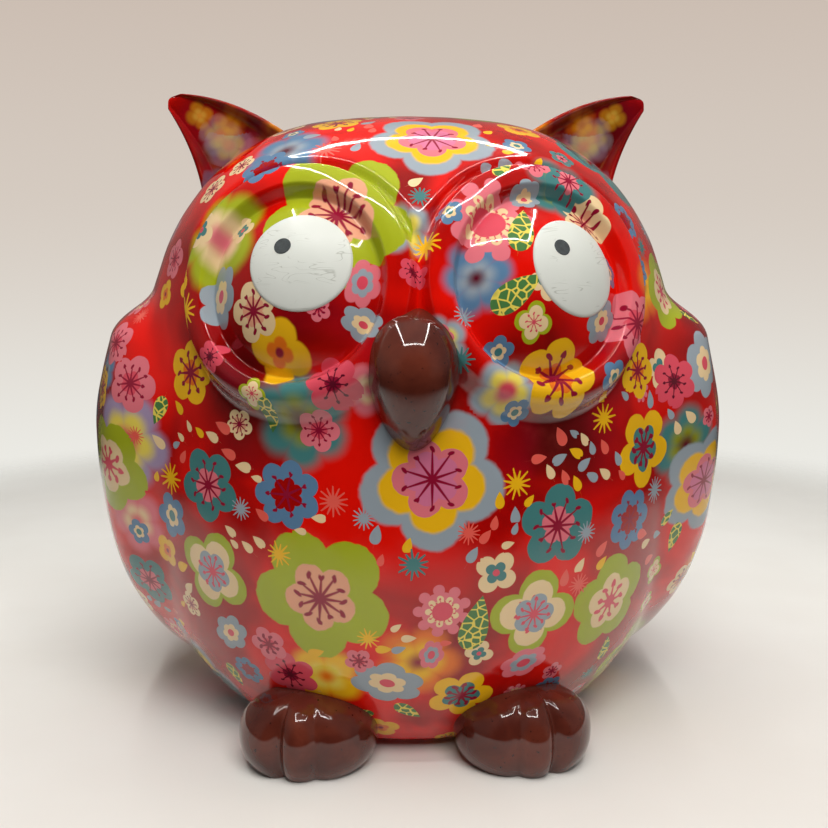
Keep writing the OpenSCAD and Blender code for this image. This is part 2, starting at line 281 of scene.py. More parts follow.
def cap_directions(ring):
    """A square patch of directions inside the closed ring of directions, evened out by relaxation."""
    n = len(ring) // 4
    start = n // 2
    patch = np.zeros((n + 1, n + 1, 2))
    border(patch, np.roll(ring[:, :2], -start, axis=0))
    s = np.linspace(0, 1, n + 1)[:, None, None]
    t = np.linspace(0, 1, n + 1)[None, :, None]
    across = (1 - s) * patch[:1] + s * patch[-1:] + (1 - t) * patch[:, :1] + t * patch[:, -1:]
    corners = ((1 - s) * (1 - t) * patch[0, 0] + (1 - s) * t * patch[0, n]
               + s * (1 - t) * patch[n, 0] + s * t * patch[n, n])
    patch[1:-1, 1:-1] = (across - corners)[1:-1, 1:-1]
    for _ in range(60):
        patch[1:-1, 1:-1] = (patch[:-2, 1:-1] + patch[2:, 1:-1] + patch[1:-1, :-2] + patch[1:-1, 2:]) / 4
    up = np.sqrt(np.maximum(1 - (patch ** 2).sum(-1, keepdims=True), 0))
    number = np.full((n + 1, n + 1), -1)
    border(number, np.roll(np.arange(4 * n), -start))
    return np.concatenate([patch, up], -1), number


def slot_distance(p):
    """Distance outside the coin slot's rounded outline, seen from behind."""
    corner = SLOT_HALF_T - 0.2
    x = np.abs(p[..., 0]) - (SLOT_HALF - corner)
    z = np.abs(p[..., 2] - SLOT_Z) - (SLOT_HALF_T - corner)
    return np.hypot(np.maximum(x, 0), np.maximum(z, 0)) + np.minimum(np.maximum(x, z), 0) - corner


def snap_to_slot(points, chosen):
    """Slides the chosen points over the skin onto the slot's outline."""
    p = points[chosen]
    step = 0.01
    for _ in range(4):
        s = slot_distance(p)
        slope = np.zeros_like(p)
        for axis in (0, 2):
            shift = np.zeros(3)
            shift[axis] = step
            slope[:, axis] = (slot_distance(p + shift) - slot_distance(p - shift)) / (2 * step)
        p = skin(unit(p - s[:, None] * slope - CENTRE))
    points[chosen] = p


def cut_slot(points):
    """Draws the skin into the coin slot with a rounded lip. Returns which points the open slot takes."""
    behind = points[:, 1] > SLOT_BEHIND_Y
    s = slot_distance(points)
    near = behind & (np.abs(s) < SNAP)
    snap_to_slot(points, near)
    s = np.where(near, 0.0, slot_distance(points))
    lip = 1.25 - 0.35 * np.clip((points[:, 2] - SLOT_Z) / SLOT_HALF_T, -1, 1)
    inside = np.clip(lip - s, 0, lip)
    drop = lip - np.sqrt(np.maximum(lip ** 2 - inside ** 2, 0))
    drop = np.where(s < -0.05, WALL + 0.8, drop)
    points -= np.where(behind, drop, 0.0)[:, None] * unit(points - CENTRE)
    return behind & (s < -0.05)


def make_shell():
    """The body's glazed skin, with the coin slot cut in and without what the goggles cover."""
    turns, rises = shell_turns(), shell_rises()
    rows = [skin(way(turns, rise)) for rise in rises]
    outer_count = len(rises)
    patch, patch_number = cap_directions(way(turns, rises[-1]))
    cap_first = outer_count * AROUND
    inner = patch_number < 0
    patch_number[inner] = cap_first + np.arange(inner.sum())
    patch_number[~inner] += (outer_count - 1) * AROUND
    points = np.concatenate([np.concatenate(rows), skin(patch[inner])])
    grid = tube_quads(outer_count, AROUND)
    cap = np.stack([patch_number[:-1, :-1], patch_number[:-1, 1:], patch_number[1:, 1:],
                    patch_number[1:, :-1]], -1).reshape(-1, 4)
    faces = np.concatenate([grid, cap])
    opened = cut_slot(points)
    corners = points[faces]
    hidden = np.zeros(len(faces), bool)
    for s in (LEFT, RIGHT):
        q, _ = eye_distance(corners, s)
        hidden |= (q.max(1) < UNDER_GOGGLE_R) & (corners[..., 1].max(1) < GOGGLES_BEFORE_Y)
    hidden |= opened[faces].all(1)
    faces = faces[~hidden]

    bottom = level_rows(turns)
    first = len(points)
    points = np.concatenate([points, bottom])
    under = tube_quads(len(bottom) // AROUND, AROUND, first)[:, ::-1]
    join = ring_quads(np.arange(AROUND), first + np.arange(AROUND))[:, ::-1]
    points, faces = drop_unused(points, np.concatenate([faces, join, under])[:, ::-1])
    return piece("owl_shell", points, [faces], "body_shell")


def level_rows(turns):
    """The rolled edge under the body, from outside to the foot ring and up beside it."""
    profile = [(BASE_R + 5.0, 4.4), (BASE_R + 4.2, 3.5), (BASE_R + 3.2, 3.1), (BASE_R + 1.4, 3.1),
               (BASE_R + 0.3, 3.3), (BASE_R - 0.3, 4.0), (BASE_R - 0.3, BASE_TOP + 0.6)]
    t = np.radians(turns)
    return np.concatenate([np.stack([r * np.sin(t), AXIS_Y + r * np.cos(t), np.full_like(t, z)], -1)
                           for r, z in profile])


def make_cavity():
    """The raw inside of the casting, with its own opening behind the coin slot."""
    turns = np.arange(120) * 3.0
    rows = [level_rows(turns)[-len(turns):]]
    lowest, highest, count = -49, 89, 70
    rows += [inner_skin(way(turns, rise)) for rise in np.linspace(lowest, highest, count)]
    points = np.concatenate(rows)
    faces = tube_quads(len(rows), len(turns))
    corners = points[faces]
    s = slot_distance(corners)
    faces = faces[~((s.min(1) < 0.6) & (corners[..., 1].min(1) > SLOT_BEHIND_Y))]
    points, faces = drop_unused(points, faces)
    return piece("owl_cavity", points, [faces], "body_shell")


# ---- Goggles ----

def on_face(s, a, b):
    """Directions from the body's centre to points placed from the eye's axis: a sideways, b upwards."""
    right, up = eye_axes(s)
    return unit(eye_centre(s) + a[..., None] * right + b[..., None] * up - CENTRE)


def make_goggle(s):
    """An eyeball with its ring, as far as the line halfway between the eyes."""
    turns = 384
    t = np.radians(np.arange(turns) * 360 / turns)
    right, up = eye_axes(s)
    towards_nose = -s * (np.sin(t) * right[0] + np.cos(t) * up[0])
    to_middle = EYE_X / np.maximum(towards_nose, 1e-6)
    last = np.minimum(GOGGLE_END, to_middle)
    eyeball_end, flat_end, outside = 21.9, 29.0, 16
    even = (*np.linspace(0.9, eyeball_end, 30), *np.linspace(eyeball_end + 0.3, flat_end, 30))
    steps = [np.full(turns, q) for q in even]
    steps += [flat_end + (last - flat_end) * k / outside for k in range(1, outside + 1)]
    rows = []
    for q in steps:
        # The edge dips a little under the body's skin.
        sink = -0.12 * smooth((q - 30.6) / 2.0)
        rows.append(skin(on_face(s, q * np.sin(t), q * np.cos(t)), sink))
    points = np.concatenate(rows + [skin(on_face(s, np.zeros(1), np.zeros(1)))])
    faces = [tube_quads(len(rows), turns), fan(np.arange(turns), len(points) - 1)[:, ::-1]]
    name = "goggle_" + SIDES[s]
    return piece(name, points, faces, name)


# ---- Painted eyes ----

# Where each patch lies on its eyeball, sideways and upwards from the eye's axis.
WHITE_AT = {LEFT: (3.8, 3.0), RIGHT: (6.4, 1.9)}
PUPIL_AT = {LEFT: (0.0, 5.4), RIGHT: (1.9, 5.1)}


def make_patch(name, s, at, r, low, high):
    """A round patch of thick enamel with a rolled edge, lying on an eyeball."""
    a, b = at
    turns = 96
    t = np.radians(np.arange(turns) * 360 / turns)
    flat = [(share, high) for share in np.linspace(0.06, 0.9, 16)]
    rolled = [(1 - 0.06 * (1 - math.cos(k)), low + (high - low) * math.sin(k))
              for k in np.linspace(math.pi / 2, 0, 7)]
    rows = []
    for share, lift in flat + rolled:
        rows.append(skin(on_face(s, a + r * share * np.sin(t), b + r * share * np.cos(t)), lift))
    points = np.concatenate(rows + [skin(on_face(s, np.array([a]), np.array([b])), high)])
    faces = [tube_quads(len(rows), turns), fan(np.arange(turns), len(points) - 1)[:, ::-1]]
    return piece(name, points, faces, name)


def make_white(s):
    return make_patch("eye_white_" + SIDES[s], s, WHITE_AT[s], 11.9, -0.1, 0.4)


def make_pupil(s):
    return make_patch("pupil_" + SIDES[s], s, PUPIL_AT[s], 2.0, 0.3, 0.62)


# ---- Ears ----

EAR_LOW = [(63, 150), (63.5, 167), (74.0, 183.2)]
EAR_HIGH = [(29, 168.5), (50, 186.5), (71.0, 186.2)]


def bezier(a, b, c, t):
    a, b, c = np.array(a, float), np.array(b, float), np.array(c, float)
    t = np.asarray(t)[..., None]
    return (1 - t) ** 2 * a + 2 * t * (1 - t) * b + t * t * c


def ear_point(s, t, a):
    """A point of the ear's surface: t from the root to the tip, a round the ear from its upper edge."""
    low, high = bezier(*EAR_LOW, t), bezier(*EAR_HIGH, t)
    tip = np.sqrt(np.clip((1 - t) / 0.05, 0.0, 1.0))
    mid, half = (low + high) / 2, (high - low) / 2 * tip[..., None]
    e = mid + half * np.cos(a)[..., None]
    dish = (6.0 * (1 - t) + 1.0) * tip
    back = (9.5 * (1 - t) + 2.2) * tip
    bowl = smooth((1 - np.abs(np.cos(a)) - 0.05) / 0.3)
    front = dish * bowl - 1.9 * np.abs(np.sin(a)) ** 0.6 * tip
    y = np.where(np.sin(a) > 0, back * np.abs(np.sin(a)) ** 0.8, front)
    return np.stack([s * e[..., 0], AXIS_Y - 2 + 3 * (1 - t) + y, e[..., 1]], -1)


def outside_skin(p):
    """How far a point stands over the skin."""
    off = p - CENTRE
    return np.linalg.norm(off, axis=-1) - np.linalg.norm(skin(unit(off)) - CENTRE, axis=-1)


def make_ear(s):
    """An ear that flows out of the skin in a fillet and ends in a point."""
    turns, steps, fillet = 160, 80, 12
    a = np.arange(turns) * 2 * math.pi / turns
    trial = np.linspace(0, 0.6, 121)
    height = np.stack([outside_skin(ear_point(s, np.full(turns, t), a)) for t in trial])
    root = trial[np.argmax(height > 0, axis=0)]
    root = (np.roll(root, 1) + root * 2 + np.roll(root, -1)) / 4
    foot = ear_point(s, root, a)
    start = root + 0.09
    fillet_r = 5.5
    away = unit(foot - foot.mean(0))
    spread = skin(unit(foot + fillet_r * away - CENTRE), -0.05)
    rows = [spread * (1 - k) ** 2 + 2 * k * (1 - k) * foot + k * k * ear_point(s, start, a)
            for k in np.linspace(0, 1, fillet)]
    for f in np.linspace(0, 1, steps)[1:]:
        t = start + (1 - start) * (1 - (1 - f) ** 1.35)
        rows.append(ear_point(s, np.minimum(t, 0.9995), a))
    points = np.concatenate(rows + [rows[-1].mean(0)[None]])
    last = (len(rows) - 1) * turns + np.arange(turns)
    flip = slice(None, None, -s)
    faces = [tube_quads(len(rows), turns)[:, flip], fan(last, len(points) - 1)[:, flip]]
    name = "ear_" + SIDES[s]
    return piece(name, points, faces, name)


# ---- Beak and feet ----

def closed_piece(name, rows, poles):
    """A closed skin over rows of points, from one pole to the other."""
    turns = len(rows[0])
    points = np.concatenate(rows + [np.array(poles)])
    first, last = np.arange(turns), (len(rows) - 1) * turns + np.arange(turns)
    faces = [tube_quads(len(rows), turns), fan(first, len(points) - 2)[:, ::-1], fan(last, len(points) - 1)]
    return piece(name, points, faces, name)


def make_beak():
    """A plump drop, widest above its middle, its back sunk into the face."""
    low, high = box_mm("beak")
    mid_x, half_w = (low[0] + high[0]) / 2, (high[0] - low[0]) / 2
    top, tip = high[2], low[2]
    back_y, out, sunk = AXIS_Y - 85, 15.5, 3
    turns, steps = 128, 90
    a = -np.arange(turns) * 2 * math.pi / turns
    rows = []
    for t in 0.5 - 0.5 * np.cos(math.pi * np.arange(1, steps) / steps):
        full = math.sin(math.pi * t ** 0.7) ** 0.55
        front = out * math.sin(math.pi * t ** 0.8) ** 0.62
        deep = np.where(np.cos(a) > 0, front, sunk * full)
        x = mid_x + half_w * full * np.sin(a)
        y = back_y - 1.5 * math.sin(math.pi * t) - deep * np.cos(a)
        rows.append(np.stack([x, y, np.full(turns, top + (tip - top) * t)], -1))
    return closed_piece("beak", rows, [(mid_x, back_y, top), (mid_x, back_y, tip)])


def make_foot(s):
    """A paw with three toes, turned a little inwards, the outer toe the narrowest."""
    name = "foot_" + SIDES[s]
    foot_h = box_mm(name)[1][2]
    x, y = s * 29.5, AXIS_Y - 63
    ankle, sole_r, sole_front, sole_back = 9.0, 19.0, 18.0, 9.0
    power, roundness, turned = 2.15, 0.86, math.radians(8)
    outer_groove, inner_groove, groove_depth = 10.7, -0.7, 3.2
    turns, steps = 176, 84
    a = -np.arange(turns) * 2 * math.pi / turns
    deep = np.where(np.cos(a) < 0, sole_front, sole_back)
    plan = ((np.abs(np.sin(a)) / sole_r) ** power + (np.abs(np.cos(a)) / deep) ** power) ** (-1 / power)
    across = s * plan * np.sin(a)
    groove = np.exp(-(np.abs(across - outer_groove) / 2.0) ** 1.4)
    groove += 0.5 * np.exp(-(np.abs(across - inner_groove) / 2.4) ** 1.5)
    groove *= smooth(-np.cos(a) / 0.5)
    rows = []
    for e in np.linspace(-math.pi / 2, math.pi / 2, steps + 1)[1:-1]:
        depth = groove_depth * smooth((math.pi / 2 - e) / 0.9)
        q = (plan - depth * groove) * math.cos(e) ** roundness
        up = math.copysign(abs(math.sin(e)) ** roundness * (foot_h - ankle), e)
        turn = a + s * turned
        z = np.full(turns, max(ankle + up, 0.0))
        rows.append(np.stack([x + q * np.sin(turn), y + q * np.cos(turn), z], -1))
    return closed_piece(name, rows, [(x, y, 0.0), (x, y, foot_h)])


# ---- Colours ----

def srgb(r, g, b):
    """A linear colour from display values of 0 to 255."""
    return tuple((c / 255 / 12.92) if c < 10.3 else ((c / 255 + 0.055) / 1.055) ** 2.4 for c in (r, g, b))


RED = srgb(224, 16, 4)
DEEP_RED = srgb(158, 6, 4)
# UMBER and CRIMSON only darken the ground under the dark patches, which are partly painted shade.
UMBER = srgb(72, 8, 8)
CRIMSON = srgb(118, 10, 28)
PLUM = srgb(88, 14, 34)
MAROON = srgb(140, 18, 48)
ROSE = srgb(212, 74, 92)
PINK = srgb(218, 112, 124)
PEACH = srgb(224, 160, 128)
CREAM = srgb(228, 200, 154)
SALMON = srgb(226, 92, 80)
MAUVE = srgb(206, 112, 146)
ORANGE = srgb(224, 112, 24)
YELLOW = srgb(232, 178, 24)
LEMON = srgb(226, 206, 88)
LIME = srgb(160, 170, 32)
OLIVE = srgb(138, 142, 36)
GREEN = srgb(72, 120, 66)
TEAL = srgb(66, 122, 122)
BLUE = srgb(88, 124, 158)
GREY = srgb(146, 158, 168)
LILAC = srgb(158, 140, 172)


# ---- Motifs of the transfer ----

def kind(outer, inner, centre, petals=5, lobe=0.42, inside=0.0, disc=0.0, soft=0.012,
         stamens=(0, 0.0, 0.0), ink=1.0, flat=1.0):
    """One sort of motif. Lengths are shares of its radius. lobe is a petal's radius, inside the inner
    blossom's size, stamens their number, length and half-width, flat the motif's height to its width."""
    out = 1 - lobe if lobe else 0.0
    return dict(outer=outer, inner=inner, centre=centre, petals=(petals, out, lobe),
                core=(inside, disc, soft), stamens=stamens, ink=ink, flat=flat)


def burst(colour, rays, line, disc):
    return kind(colour, colour, colour, 3, 0.0, disc=disc, stamens=(rays, 0.98, line))


def drop(colour):
    return kind(colour, colour, colour, 1, 0.96)


KINDS = {
    "teal_star": kind(TEAL, PINK, MAROON, inside=0.46, disc=0.13, stamens=(10, 0.7, 0.032)),
    "blue_ring": kind(BLUE, DEEP_RED, MAROON, 7, 0.34, 0.5, stamens=(7, 0.78, 0.035)),
    "lime_blossom": kind(LIME, PEACH, MAROON, 5, 0.44, 0.52, 0.09, stamens=(12, 0.4, 0.024)),
    "green_cream": kind(LIME, CREAM, ROSE, 4, 0.46, 0.78, 0.1, stamens=(9, 0.45, 0.03)),
    "grey_core": kind(GREY, CREAM, ROSE, 5, 0.44, disc=0.12, stamens=(11, 0.8, 0.05)),
    "pink_core": kind(PINK, MAUVE, MAROON, 5, 0.42, 0.7, 0.12, stamens=(10, 0.85, 0.035)),
    "lime_pink": kind(LIME, CREAM, ROSE, 5, 0.46, 0.6, 0.14, stamens=(9, 0.4, 0.035)),
    "grey_yellow": kind(GREY, YELLOW, ROSE, 5, 0.45, 0.74, 0.3, soft=0.035),
    "pink_stamens": kind(PINK, ROSE, MAROON, 5, 0.44, 0.42, 0.09, stamens=(11, 0.68, 0.035)),
    "cream_stamens": kind(CREAM, PEACH, MAROON, 5, 0.42, 0.5, 0.12, stamens=(10, 0.72, 0.045)),
    "yellow_stamens": kind(YELLOW, ORANGE, MAROON, 5, 0.45, 0.4, 0.12, stamens=(9, 0.66, 0.045)),
    "cream_teal": kind(CREAM, TEAL, ROSE, 4, 0.44, 0.52, 0.16),
    "pink_ring": kind(PINK, CREAM, ROSE, 9, 0.2, 0.6, 0.36, stamens=(16, 0.5, 0.02)),
    "grey_oval": kind(GREY, CREAM, ROSE, 6, 0.4, 0.52, 0.2, flat=0.74),
    "pink_oval": kind(PINK, GREY, ROSE, 6, 0.42, 0.6, 0.28, soft=0.03, flat=0.7),
    "rose": kind(ROSE, MAROON, PLUM, 6, 0.36, 0.3, 0.12, stamens=(9, 0.6, 0.03)),
    "yellow_teal": kind(YELLOW, TEAL, MAROON, 5, 0.4, 0.6, 0.1, stamens=(10, 0.5, 0.045)),
    "gold": kind(YELLOW, ORANGE, MAROON, 4, 0.5, 0.45, 0.14, soft=0.05),
    "leaf": kind(GREEN, LEMON, GREEN, 1, 0.98, flat=0.85, ink=2.0),
    "burst_grey": burst(GREY, 14, 0.075, 0.26),
    "burst_pink": burst(SALMON, 14, 0.075, 0.26),
    "burst_teal": burst(TEAL, 13, 0.09, 0.3),
    "burst_yellow": burst(YELLOW, 12, 0.08, 0.28),
    "small_pink": kind(PINK, ROSE, MAROON, 5, 0.42, 0.4, 0.16, stamens=(8, 0.6, 0.06)),
    "small_blue": kind(BLUE, CREAM, TEAL, 5, 0.42, 0.5, 0.24),
    "drop_cream": drop(CREAM),
    "drop_grey": drop(GREY),
    "drop_pink": drop(SALMON),
    "drop_yellow": drop(YELLOW),
    "haze_yellow": kind(YELLOW, LEMON, ORANGE, 4, 0.5, 0.5, 0.2, soft=0.2),
    "haze_lime": kind(LIME, CREAM, PINK, 5, 0.46, 0.55, 0.2, soft=0.16),
    "haze_grey": kind(GREY, LEMON, ROSE, 5, 0.45, 0.66, 0.3, soft=0.15),
    "haze_teal": kind(TEAL, OLIVE, PLUM, 6, 0.42, 0.5, 0.2, soft=0.2),
    "haze_lilac": kind(LILAC, LEMON, ROSE, 5, 0.45, 0.62, 0.25, soft=0.15),
    "haze_pink": kind(PINK, CREAM, ROSE, 5, 0.46, 0.5, 0.2, soft=0.2),
    "haze_blue": kind(BLUE, GREY, PLUM, 6, 0.42, 0.5, 0.2, soft=0.2),
    "haze_orange": kind(ORANGE, YELLOW, MAROON, 5, 0.46, 0.6, 0.2, soft=0.2),
}

# Motifs in front, given one by one: kind, degrees round from straight ahead (right is plus), height, size,
# spin.
HAZE = [
    ("haze_lime", -36, 142, 26, 10), ("haze_teal", -19, 98, 24, 0), ("haze_lilac", -57, 88, 27, 20),
    ("haze_pink", -59, 64, 20, 0), ("haze_blue", 9, 133, 17, 40), ("haze_grey", 3, 117, 13, 0),
    ("haze_blue", -64, 106, 12, 0), ("haze_teal", 28, 157, 20, 0), ("haze_orange", 0, 34, 22, 30),
    ("haze_blue", -30, 165, 22, 0), ("haze_teal", 55, 86, 22, 0), ("haze_grey", 13, 106, 16, 20),
    ("haze_pink", -8, 106, 12, 0), ("haze_orange", -28, 108, 16, 0), ("haze_orange", 46, 130, 18, 0),
    ("haze_grey", -3, 146, 15, 0), ("haze_teal", -14, 88, 12, 0), ("haze_yellow", -18, 28, 20, 0),
]
# Dark patches of the ground, in the same order: degrees round, height, size, strength. They are partly the
# transfer's dark print and partly painted shade, where the goggle rings, the nose valley and the brow's V
# turn from the light, and to darken the belly.
PRINT_AND_SHADE_PATCHES = [
    (-29, 104, 34, 0.9), (25, 94, 38, 0.9), (63, 118, 28, 0.8), (3, 104, 24, 0.7), (-8, 118, 16, 0.6),
    (18, 118, 22, 0.8), (-16, 122, 20, 0.7), (-62, 95, 26, 0.7), (6, 36, 24, 0.8), (-33, 150, 18, 0.5),
    (36, 112, 22, 0.8), (40, 150, 16, 0.5), (-2, 156, 12, 0.4),
]
BLOOMS = [
    ("teal_star", -38, 79, 20, 12), ("teal_star", 24, 70, 22, -20), ("blue_ring", -22, 79, 18, 0),
    ("blue_ring", 41, 68, 17, 30), ("lime_blossom", -17, 52, 37, 8), ("grey_yellow", 2, 84, 37, 20),
    ("green_cream", -39, 55, 24, 15), ("green_cream", 21, 46, 25, 40), ("lime_pink", 39, 45, 28, -10),
    ("cream_teal", 13, 59, 12, 10), ("pink_ring", 4, 49, 15, 0), ("grey_oval", -38, 37, 14, 40),
    ("grey_oval", -6, 27, 20, -15), ("pink_oval", 21, 31, 14, 20), ("grey_oval", 60, 108, 20, 60),
    ("yellow_teal", 44, 87, 22, 20), ("rose", 52, 104, 15, 0), ("pink_stamens", 38, 121, 18, 0),
    ("yellow_stamens", 42, 108, 15, 30), ("grey_yellow", 4, 168, 33, 12),
    ("lime_blossom", -14, 148, 38, 20), ("grey_oval", -34, 128, 16, 80),
    ("cream_stamens", -26, 125, 14, 0), ("gold", -22, 115, 16, 30), ("pink_oval", -9, 132, 12, 70),
    ("pink_ring", 12, 146, 22, 20), ("yellow_stamens", 22, 108, 20, -30),
    ("cream_stamens", 31, 146, 15, 15), ("grey_oval", 31, 122, 13, 30),
    ("yellow_stamens", -42, 108, 17, 45), ("teal_star", 29, 157, 14, 0),
    ("pink_stamens", -62, 114, 13, 0), ("yellow_stamens", -66, 101, 13, 0),
    ("teal_star", -62, 45, 18, 0), ("grey_yellow", 62, 74, 32, 40), ("rose", -13, 108, 14, 20),
    ("small_blue", -49, 68, 13, 0), ("lime_pink", 56, 128, 22, 0), ("grey_oval", 20, 152, 9, 10),
    ("rose", -26, 27, 16, 0), ("yellow_teal", 9, 22, 18, 30), ("blue_ring", -32, 160, 15, 0),
]
SPECKS = [
    ("pink_core", 2, 84, 20, 0), ("pink_core", 4, 168, 18, 12), ("pink_core", 62, 74, 17, 0),
    ("grey_core", -39, 55, 12, 15), ("grey_core", 21, 46, 12, 40), ("burst_pink", -14, 78, 9, 0),
    ("burst_yellow", -24, 63, 8, 0), ("burst_yellow", -9, 41, 7, 0), ("burst_grey", -9, 74, 7, 0),
    ("burst_grey", -31, 74, 7, 0), ("burst_teal", -1, 62, 9, 0), ("burst_yellow", 16, 82, 9, 0),
    ("burst_pink", 8, 70, 7, 0), ("small_pink", -29, 36, 11, 0), ("small_pink", -11, 34, 8, 20),
    ("burst_teal", -12, 124, 10, 0), ("leaf", 17, 145, 13, 70), ("leaf", 15, 130, 14, 30),
    ("leaf", 10, 45, 16, 80), ("leaf", 7, 33, 14, 10), ("burst_grey", 30, 67, 7, 0),
    ("burst_pink", -20, 165, 10, 0), ("small_blue", 5, 149, 7, 0),
]
DROP_GROUPS = [(12, 72), (-28, 68), (28, 87), (-4, 67), (31, 55), (49, 94), (-14, 69), (-8, 151), (16, 164),
               (-47, 47), (47, 56), (-34, 88), (0, 40), (-20, 41), (35, 96), (-45, 95), (14, 66), (17, 73),
               (-30, 70), (-27, 64), (32, 88), (26, 84), (-5, 158), (20, 168), (30, 62), (-46, 84)]


def on_skin(turn, z):
    """The point of the skin that is turn degrees round from straight ahead, at the height z."""
    low, high = -60.0, 89.5
    for _ in range(24):
        rise = (low + high) / 2
        if skin(way(180 - turn, rise))[2] < z:
            low = rise
        else:
            high = rise
    return skin(way(180 - turn, rise))


def motif(name, at, normal, size, spin):
    """A motif with its own place, tangent axes and radius."""
    side = unit(np.cross([0, 0, 1], normal) + np.array([1e-6, 0, 0]))
    up = np.cross(normal, side)
    c, s = math.cos(math.radians(spin)), math.sin(math.radians(spin))
    return dict(KINDS[name], at=at, u=c * side + s * up, v=c * up - s * side, radius=size / 2)


def placed(rows):
    """Motifs from a given list. They face away from the body's centre."""
    made = []
    for name, turn, z, size, spin in rows:
        at = on_skin(turn, z)
        made.append(motif(name, at, unit(at - CENTRE), size, spin))
    return made


def clear_of(at, size, others, gap):
    return all(np.linalg.norm(at - m["at"]) > gap * (size / 2 + m["radius"]) for m in others)


def fitting(motifs, others, gap):
    return [m for m in motifs if clear_of(m["at"], 1.6 * m["radius"], others, gap)]


def stacked(rows, lower, upper):
    """Adds listed motifs to the lower layer, or to the upper one where they would cut into another."""
    for m in placed(rows):
        roomy = clear_of(m["at"], 2 * m["radius"], lower, 0.97)
        (lower if roomy else upper).append(m)


def scattered(rng, names, count, sizes, same, below, region, gap=0.95):
    """Motifs at random places of the skin that keep clear of the ones of their own and lower layers."""
    made = []
    for _ in range(count):
        d = unit(rng.normal(size=3))
        size = rng.uniform(*sizes)
        name = names[rng.integers(len(names))]
        spin = rng.uniform(0, 360)
        if d[2] < -0.82 or not region(d):
            continue
        at = skin(d)
        if clear_of(at, size, same + made, gap) and clear_of(at, size, below, 0.86):
            made.append(motif(name, at, d, size, spin))
    return made


def drop_groups(rng, groups):
    """Loose clusters of small drops that point roughly the same way."""
    names = ["drop_cream", "drop_grey", "drop_pink", "drop_yellow"]
    tries, reach_turn, reach_z = 16, 6.5, 7
    made = []
    for turn, z in groups:
        lean = rng.uniform(0, 180)
        for _ in range(tries):
            at = on_skin(turn + rng.uniform(-reach_turn, reach_turn), z + rng.uniform(-reach_z, reach_z))
            size = rng.uniform(3.2, 5.4)
            if clear_of(at, size, made, 0.85):
                name = names[rng.integers(4)]
                made.append(motif(name, at, unit(at - CENTRE), size, lean + rng.uniform(-25, 25)))
    return made


def ear_motifs(s):
    """Blurred motifs of the ears, by layer: kind, place along the ear, half turns round it, size."""
    faint = 0.3
    rows = [[("haze_grey", 0.5, 0.5, 13), ("haze_pink", 0.2, 0.45, 14)],
            [("haze_yellow", 0.72, 1.52, 8), ("haze_orange", 0.5, 1.64, 10), ("haze_blue", 0.2, 1.26, 9),
             ("haze_lilac", 0.4, 0.5, 15)],
            [("haze_orange", 0.26, 1.86, 9)]]
    made = []
    for layer in rows:
        made.append([])
        for name, t, half_turns, size in layer:
            at = ear_point(s, np.array([t]), np.array([half_turns * math.pi]))[0]
            normal = np.array([0.0, -1.0 if half_turns > 1 else 1.0, 0.1])
            made[-1].append(dict(motif(name, at, unit(normal), size, 40 * t * s), ink=faint))
    return made


def anywhere(d):
    return True


def sides_and_back(d):
    return d[1] > -0.42 or abs(d[0]) > 0.8 or d[2] > 0.84


def layers():
    """The transfer's three layers of motifs, from the lowest up."""
    rng = np.random.default_rng(11)
    haze, blooms, specks = [], [], []
    stacked(HAZE, haze, [])
    stacked(BLOOMS, blooms, specks)
    stacked(SPECKS, specks, [])
    big = ["lime_blossom", "grey_yellow", "green_cream", "lime_pink", "teal_star", "yellow_teal"]
    medium = ["teal_star", "blue_ring", "pink_stamens", "cream_stamens", "yellow_stamens", "rose",
              "pink_ring", "cream_teal", "grey_oval", "pink_oval", "gold", "green_cream"]
    small = ["burst_grey", "burst_pink", "burst_teal", "burst_yellow", "small_pink", "small_blue", "leaf"]
    hazes = [n for n in KINDS if n.startswith("haze")]
    haze += scattered(rng, hazes, 400, (20, 34), haze, [], sides_and_back, 1.08)
    blooms += scattered(rng, big, 420, (24, 38), blooms, [], sides_and_back)
    blooms += scattered(rng, medium, 1500, (12, 20), blooms, [], sides_and_back)
    blooms += scattered(rng, medium, 900, (7, 11), blooms, [], anywhere, 1.02)
    specks += scattered(rng, small, 900, (6, 10), specks, blooms, anywhere, 1.1)
    specks += fitting(drop_groups(rng, DROP_GROUPS), specks + blooms, 0.85)
    for _ in range(70):
        d = unit(rng.normal(size=3))
        if sides_and_back(d) and d[2] > -0.75:
            turn = 180 - math.degrees(math.atan2(d[0], d[1]))
            specks += fitting(drop_groups(rng, [(turn, skin(d)[2])]), specks + blooms, 0.9)
    return haze, blooms, specks


def print_and_shade_spots():
    """Places, reach and strength of the ground's dark patches, some more of them on the sides and back. The
    listed ones are partly painted shade, and the two in each ear's dish are a dark ground with painted
    shade in the hollow.
    """
    rng = np.random.default_rng(5)
    spots = [(on_skin(turn, z), size / 2, strength) for turn, z, size, strength in PRINT_AND_SHADE_PATCHES]
    for _ in range(60):
        d = unit(rng.normal(size=3))
        if d[1] > -0.3:
            spots.append((skin(d), rng.uniform(8, 17), rng.uniform(0.4, 0.9)))
    # Painted shade, over a dark ground, in the dished front of each ear.
    for s in (LEFT, RIGHT):
        dish = np.array([1.5 * math.pi])
        spots += [(ear_point(s, np.array([t]), dish)[0], reach, 1.0) for t, reach in ((0.3, 17), (0.7, 12))]
    return spots


def read(items, key, width, kind_of):
    """One value of every vertex, face or corner of a mesh."""
    values = np.empty(len(items) * width, kind_of)
    items.foreach_get(key, values)
    return values.reshape(-1, width) if width > 1 else values


def add_attribute(mesh, name, kind_of, domain, values):
    attribute = mesh.attributes.new(name, kind_of, domain)
    key = {"FLOAT_COLOR": "color", "FLOAT_VECTOR": "vector", "FLOAT": "value"}[kind_of]
    attribute.data.foreach_set(key, np.ascontiguousarray(values, np.float32).ravel())


